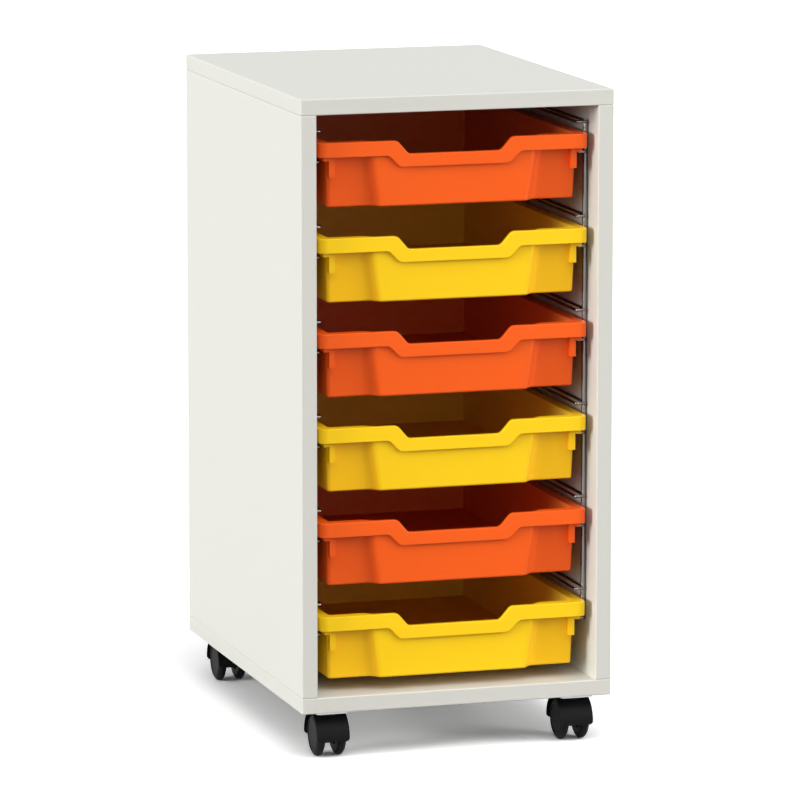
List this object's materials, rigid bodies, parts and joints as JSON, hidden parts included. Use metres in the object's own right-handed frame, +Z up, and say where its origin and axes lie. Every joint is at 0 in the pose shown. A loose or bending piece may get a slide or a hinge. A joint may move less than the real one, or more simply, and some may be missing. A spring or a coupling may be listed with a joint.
{
  "type": "tray storage unit",
  "caption": "Mobile classroom tray unit: a laminated board carcass on twin-wheel castors, with chromed wire runners on both inner sides that carry slide-out moulded trays.",
  "frame": {"origin": "On the floor, under the middle of the carcass.", "axes": "+Z is up, +X is to the right seen from the front, and the open front faces -Y."},
  "size_m": [0.363, 0.484, 0.744],
  "materials": {
    "laminated_board": "matte pale laminate on board",
    "edging_strip": "satin plastic edging",
    "beech": "plain beech",
    "chrome_wire": "plated wire",
    "zinc_steel": "zinc plated",
    "orange_tray": "satin moulded plastic",
    "yellow_tray": "satin moulded plastic",
    "black_nylon": "fine-grained black moulding",
    "black_wheel": "smooth black wheel"
  },
  "bodies": {
    "carcass": {"top_panel": "laminated_board", "base_panel": "laminated_board", "back_panel": "laminated_board", "left_side_panel": "laminated_board", "right_side_panel": "laminated_board", "top_panel_edging": "edging_strip", "base_panel_edging": "edging_strip", "left_side_edging": "edging_strip", "right_side_edging": "edging_strip", "carcass_dowels": "beech", "left_front_post": "chrome_wire", "left_rear_post": "chrome_wire", "left_runner_loops": "chrome_wire", "left_runner_screws": "zinc_steel", "right_front_post": "chrome_wire", "right_rear_post": "chrome_wire", "right_runner_loops": "chrome_wire", "right_runner_screws": "zinc_steel", "front_left_castor_plate": "zinc_steel", "front_left_castor_stem": "zinc_steel", "front_left_castor_grip_ring": "zinc_steel", "front_right_castor_plate": "zinc_steel", "front_right_castor_stem": "zinc_steel", "front_right_castor_grip_ring": "zinc_steel", "rear_left_castor_plate": "zinc_steel", "rear_left_castor_stem": "zinc_steel", "rear_left_castor_grip_ring": "zinc_steel", "rear_right_castor_plate": "zinc_steel", "rear_right_castor_stem": "zinc_steel", "rear_right_castor_grip_ring": "zinc_steel", "castor_screws": "zinc_steel"},
    "tray_1_body": {"tray_1": "orange_tray"},
    "tray_2_body": {"tray_2": "yellow_tray"},
    "tray_3_body": {"tray_3": "orange_tray"},
    "tray_4_body": {"tray_4": "yellow_tray"},
    "tray_5_body": {"tray_5": "orange_tray"},
    "tray_6_body": {"tray_6": "yellow_tray"},
    "front_left_swivel": {"front_left_castor_hood": "black_nylon", "front_left_castor_axle": "zinc_steel"},
    "front_left_left_wheel": {"front_left_castor_left_wheel": "black_wheel"},
    "front_left_right_wheel": {"front_left_castor_right_wheel": "black_wheel"},
    "front_right_swivel": {"front_right_castor_hood": "black_nylon", "front_right_castor_axle": "zinc_steel"},
    "front_right_left_wheel": {"front_right_castor_left_wheel": "black_wheel"},
    "front_right_right_wheel": {"front_right_castor_right_wheel": "black_wheel"},
    "rear_left_swivel": {"rear_left_castor_hood": "black_nylon", "rear_left_castor_axle": "zinc_steel"},
    "rear_left_left_wheel": {"rear_left_castor_left_wheel": "black_wheel"},
    "rear_left_right_wheel": {"rear_left_castor_right_wheel": "black_wheel"},
    "rear_right_swivel": {"rear_right_castor_hood": "black_nylon", "rear_right_castor_axle": "zinc_steel"},
    "rear_right_left_wheel": {"rear_right_castor_left_wheel": "black_wheel"},
    "rear_right_right_wheel": {"rear_right_castor_right_wheel": "black_wheel"}
  },
  "joints": [
    {"name": "tray_1_slide", "type": "slide", "parent": "carcass", "child": "tray_1_body", "axis": [0, -1, 0], "range_m": [0, 0.445]},
    {"name": "tray_2_slide", "type": "slide", "parent": "carcass", "child": "tray_2_body", "axis": [0, -1, 0], "range_m": [0, 0.445]},
    {"name": "tray_3_slide", "type": "slide", "parent": "carcass", "child": "tray_3_body", "axis": [0, -1, 0], "range_m": [0, 0.445]},
    {"name": "tray_4_slide", "type": "slide", "parent": "carcass", "child": "tray_4_body", "axis": [0, -1, 0], "range_m": [0, 0.445]},
    {"name": "tray_5_slide", "type": "slide", "parent": "carcass", "child": "tray_5_body", "axis": [0, -1, 0], "range_m": [0, 0.445]},
    {"name": "tray_6_slide", "type": "slide", "parent": "carcass", "child": "tray_6_body", "axis": [0, -1, 0], "range_m": [0, 0.445]},
    {"name": "front_left_swivel_turn", "type": "hinge", "parent": "carcass", "child": "front_left_swivel", "pos_m": [-0.1437, -0.2176, 0.04], "axis": [0, 0, 1], "continuous": true},
    {"name": "front_left_left_wheel_roll", "type": "hinge", "parent": "front_left_swivel", "child": "front_left_left_wheel", "pos_m": [-0.1437, -0.2096, 0.024], "axis": [1, 0, 0], "continuous": true},
    {"name": "front_left_right_wheel_roll", "type": "hinge", "parent": "front_left_swivel", "child": "front_left_right_wheel", "pos_m": [-0.1437, -0.2096, 0.024], "axis": [1, 0, 0], "continuous": true},
    {"name": "front_right_swivel_turn", "type": "hinge", "parent": "carcass", "child": "front_right_swivel", "pos_m": [0.1437, -0.2176, 0.04], "axis": [0, 0, 1], "continuous": true},
    {"name": "front_right_left_wheel_roll", "type": "hinge", "parent": "front_right_swivel", "child": "front_right_left_wheel", "pos_m": [0.1437, -0.2096, 0.024], "axis": [1, 0, 0], "continuous": true},
    {"name": "front_right_right_wheel_roll", "type": "hinge", "parent": "front_right_swivel", "child": "front_right_right_wheel", "pos_m": [0.1437, -0.2096, 0.024], "axis": [1, 0, 0], "continuous": true},
    {"name": "rear_left_swivel_turn", "type": "hinge", "parent": "carcass", "child": "rear_left_swivel", "pos_m": [-0.1437, 0.1973, 0.04], "axis": [0, 0, 1], "continuous": true},
    {"name": "rear_left_left_wheel_roll", "type": "hinge", "parent": "rear_left_swivel", "child": "rear_left_left_wheel", "pos_m": [-0.1437, 0.2053, 0.024], "axis": [1, 0, 0], "continuous": true},
    {"name": "rear_left_right_wheel_roll", "type": "hinge", "parent": "rear_left_swivel", "child": "rear_left_right_wheel", "pos_m": [-0.1437, 0.2053, 0.024], "axis": [1, 0, 0], "continuous": true},
    {"name": "rear_right_swivel_turn", "type": "hinge", "parent": "carcass", "child": "rear_right_swivel", "pos_m": [0.1437, 0.1973, 0.04], "axis": [0, 0, 1], "continuous": true},
    {"name": "rear_right_left_wheel_roll", "type": "hinge", "parent": "rear_right_swivel", "child": "rear_right_left_wheel", "pos_m": [0.1437, 0.2053, 0.024], "axis": [1, 0, 0], "continuous": true},
    {"name": "rear_right_right_wheel_roll", "type": "hinge", "parent": "rear_right_swivel", "child": "rear_right_right_wheel", "pos_m": [0.1437, 0.2053, 0.024], "axis": [1, 0, 0], "continuous": true}
  ]
}
